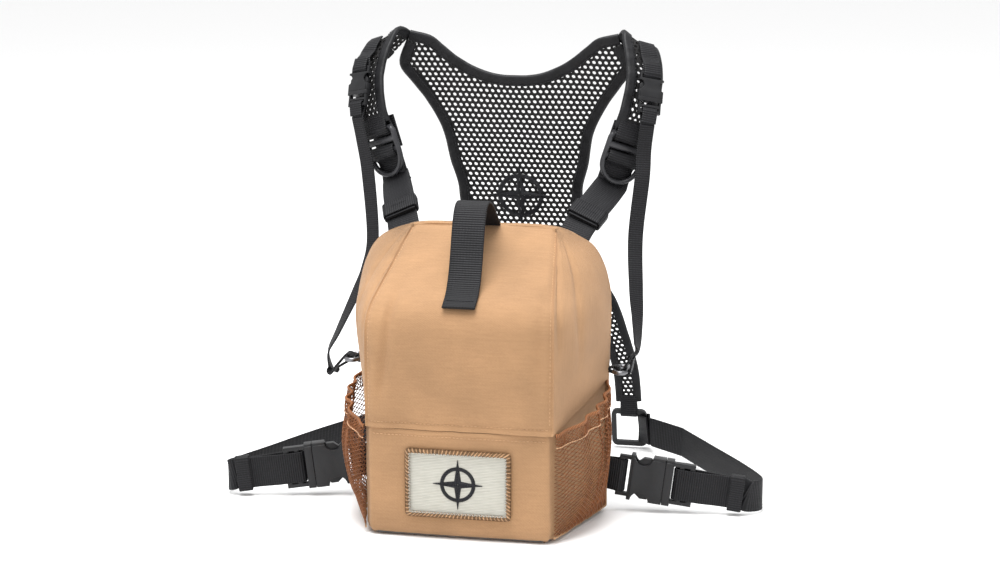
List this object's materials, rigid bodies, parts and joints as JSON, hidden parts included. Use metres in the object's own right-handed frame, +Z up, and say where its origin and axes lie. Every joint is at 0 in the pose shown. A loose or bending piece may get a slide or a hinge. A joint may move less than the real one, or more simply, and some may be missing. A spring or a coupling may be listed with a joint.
{
  "type": "binocular harness pack",
  "caption": "Canvas chest pack with a forward-opening lid, side net pockets, and a mesh back yoke with adjustable shoulder and waist webbing on side-release buckles.",
  "frame": {"origin": "centre of the pack's flat bottom, on the surface it stands on", "axes": "+Z up, -Y towards the front panel with the patch, +X to the right as seen from the front; the yoke and straps stand behind at +Y"},
  "size_m": [0.4202, 0.2877, 0.3634],
  "materials": {
    "canvas": "matt twill canvas",
    "net": "open knitted net",
    "lining": "brushed lining",
    "board": "stiff sheet",
    "magnet": "plated",
    "patch_cloth": "ribbed cloth",
    "patch_edge": "overlocked thread",
    "embroidery": "satin stitch thread",
    "spacer_mesh": "perforated spacer mesh",
    "binding": "folded tape",
    "webbing": "ribbed nylon webbing",
    "buckle_plastic": "satin acetal"
  },
  "bodies": {
    "pack": {"pack_shell": "canvas", "back_panel": "canvas", "inner_liner": "lining", "base_board": "board", "back_magnets": "magnet", "patch_field": "patch_cloth", "patch_border": "patch_edge", "patch_emblem": "embroidery", "pocket_net_left": "net", "pocket_net_right": "net", "pocket_hem_left": "net", "pocket_hem_right": "net", "yoke_mesh": "spacer_mesh", "yoke_binding": "binding", "yoke_emblem": "embroidery", "shoulder_strap_left": "binding", "shoulder_strap_right": "binding", "yoke_leg_left": "binding", "yoke_leg_right": "binding", "top_webbing_left": "webbing", "top_webbing_right": "webbing", "top_keeper_left": "webbing", "top_keeper_right": "webbing", "tether_stub_left": "webbing", "tether_stub_right": "webbing", "tether_socket_left": "buckle_plastic", "tether_socket_right": "buckle_plastic", "ring_tab_left": "webbing", "ring_tab_right": "webbing", "pack_tab_left": "webbing", "pack_tab_right": "webbing", "waist_socket_left": "buckle_plastic", "waist_socket_right": "buckle_plastic"},
    "lid": {"lid_shell": "canvas", "lid_pull": "webbing", "lid_magnets": "magnet"},
    "lock_left": {"ladder_lock_left": "buckle_plastic"},
    "ring_left": {"leg_ring_left": "buckle_plastic"},
    "side_left": {"side_ring_left": "buckle_plastic"},
    "plug_left": {"waist_plug_left": "buckle_plastic", "waist_webbing_left": "webbing"},
    "keeper_left": {"waist_keeper_left": "webbing"},
    "upper_left": {"upper_prong_left": "buckle_plastic"},
    "lower_left": {"lower_prong_left": "buckle_plastic"},
    "tether_left": {"tether_plug_left": "buckle_plastic", "tether_webbing_left": "webbing"},
    "outer_left": {"tether_outer_prong_left": "buckle_plastic"},
    "inner_left": {"tether_inner_prong_left": "buckle_plastic"},
    "lock_right": {"ladder_lock_right": "buckle_plastic"},
    "ring_right": {"leg_ring_right": "buckle_plastic"},
    "side_right": {"side_ring_right": "buckle_plastic"},
    "plug_right": {"waist_plug_right": "buckle_plastic", "waist_webbing_right": "webbing"},
    "keeper_right": {"waist_keeper_right": "webbing"},
    "upper_right": {"upper_prong_right": "buckle_plastic"},
    "lower_right": {"lower_prong_right": "buckle_plastic"},
    "tether_right": {"tether_plug_right": "buckle_plastic", "tether_webbing_right": "webbing"},
    "outer_right": {"tether_outer_prong_right": "buckle_plastic"},
    "inner_right": {"tether_inner_prong_right": "buckle_plastic"}
  },
  "joints": [
    {"name": "lid_hinge", "type": "hinge", "parent": "pack", "child": "lid", "pos_m": [0, -0.047, 0.083], "axis": [1, 0, 0], "range_deg": [0, 120]},
    {"name": "ladder_lock_tilt_left", "type": "hinge", "parent": "pack", "child": "lock_left", "pos_m": [-0.10057, 0.11076, 0.28257], "axis": [0.8484, -0.4302, 0.3085], "range_deg": [-25, 0], "deforming": ["top_webbing_left"]},
    {"name": "leg_ring_swing_left", "type": "hinge", "parent": "pack", "child": "ring_left", "pos_m": [-0.085, 0.22724, 0.03362], "axis": [1, 0, 0], "range_deg": [-25, 25], "deforming": ["waist_webbing_left"]},
    {"name": "side_ring_swing_left", "type": "hinge", "parent": "pack", "child": "side_left", "pos_m": [-0.101, 0.051, 0.112], "axis": [0, -1, 0], "range_deg": [-60, 60], "deforming": ["tether_webbing_left"]},
    {"name": "waist_release_left", "type": "slide", "parent": "pack", "child": "plug_left", "axis": [-0.9643, -0.2368, -0.1184], "range_m": [0, 0.027], "deforming": ["waist_webbing_left"]},
    {"name": "waist_keeper_slide_left", "type": "slide", "parent": "plug_left", "child": "keeper_left", "axis": [0.9643, 0.2368, 0.1184], "range_m": [0, 0.02]},
    {"name": "upper_prong_press_left", "type": "hinge", "parent": "plug_left", "child": "upper_left", "pos_m": [-0.14164, 0.04351, 0.03332], "axis": [-0.2385, 0.9711, 0], "range_deg": [0, 7], "stiffness_Nm_per_rad": 0.02},
    {"name": "lower_prong_press_left", "type": "hinge", "parent": "plug_left", "child": "lower_left", "pos_m": [-0.13957, 0.04402, 0.01545], "axis": [-0.2385, 0.9711, 0], "range_deg": [-7, 0], "stiffness_Nm_per_rad": 0.02},
    {"name": "tether_release_left", "type": "slide", "parent": "pack", "child": "tether_left", "axis": [0, -0.3987, -0.9171], "range_m": [0, 0.01485]},
    {"name": "tether_outer_press_left", "type": "hinge", "parent": "tether_left", "child": "outer_left", "pos_m": [-0.12012, 0.11224, 0.31103], "axis": [0.4705, 0.8092, -0.3518], "range_deg": [0, 7], "stiffness_Nm_per_rad": 0.005},
    {"name": "tether_inner_press_left", "type": "hinge", "parent": "tether_left", "child": "inner_left", "pos_m": [-0.11138, 0.10797, 0.31289], "axis": [0.4705, 0.8092, -0.3518], "range_deg": [-7, 0], "stiffness_Nm_per_rad": 0.005},
    {"name": "ladder_lock_tilt_right", "type": "hinge", "parent": "pack", "child": "lock_right", "pos_m": [0.10057, 0.11076, 0.28257], "axis": [0.8484, 0.4302, -0.3085], "range_deg": [-25, 0], "deforming": ["top_webbing_right"]},
    {"name": "leg_ring_swing_right", "type": "hinge", "parent": "pack", "child": "ring_right", "pos_m": [0.085, 0.22724, 0.03362], "axis": [1, 0, 0], "range_deg": [-25, 25], "deforming": ["waist_webbing_right"]},
    {"name": "side_ring_swing_right", "type": "hinge", "parent": "pack", "child": "side_right", "pos_m": [0.101, 0.051, 0.112], "axis": [0, 1, 0], "range_deg": [-60, 60], "deforming": ["tether_webbing_right"]},
    {"name": "waist_release_right", "type": "slide", "parent": "pack", "child": "plug_right", "axis": [0.9912, 0.0522, -0.1217], "range_m": [0, 0.027], "deforming": ["waist_webbing_right"]},
    {"name": "waist_keeper_slide_right", "type": "slide", "parent": "plug_right", "child": "keeper_right", "axis": [-0.9912, -0.0522, 0.1217], "range_m": [0, 0.02]},
    {"name": "upper_prong_press_right", "type": "hinge", "parent": "plug_right", "child": "upper_right", "pos_m": [0.14275, 0.05509, 0.03319], "axis": [0.0526, -0.9986, 0], "range_deg": [0, 7], "stiffness_Nm_per_rad": 0.02},
    {"name": "lower_prong_press_right", "type": "hinge", "parent": "plug_right", "child": "lower_right", "pos_m": [0.14056, 0.05498, 0.01532], "axis": [0.0526, -0.9986, 0], "range_deg": [-7, 0], "stiffness_Nm_per_rad": 0.02},
    {"name": "tether_release_right", "type": "slide", "parent": "pack", "child": "tether_right", "axis": [0, -0.3987, -0.9171], "range_m": [0, 0.01485]},
    {"name": "tether_outer_press_right", "type": "hinge", "parent": "tether_right", "child": "outer_right", "pos_m": [0.12012, 0.11224, 0.31103], "axis": [0.4705, -0.8092, 0.3518], "range_deg": [0, 7], "stiffness_Nm_per_rad": 0.005},
    {"name": "tether_inner_press_right", "type": "hinge", "parent": "tether_right", "child": "inner_right", "pos_m": [0.11138, 0.10797, 0.31289], "axis": [0.4705, -0.8092, 0.3518], "range_deg": [-7, 0], "stiffness_Nm_per_rad": 0.005}
  ],
  "couplings": [
    {"joint": "lower_prong_press_left", "follows": "upper_prong_press_left", "ratio": -1},
    {"joint": "tether_inner_press_left", "follows": "tether_outer_press_left", "ratio": -1},
    {"joint": "lower_prong_press_right", "follows": "upper_prong_press_right", "ratio": -1},
    {"joint": "tether_inner_press_right", "follows": "tether_outer_press_right", "ratio": -1}
  ]
}
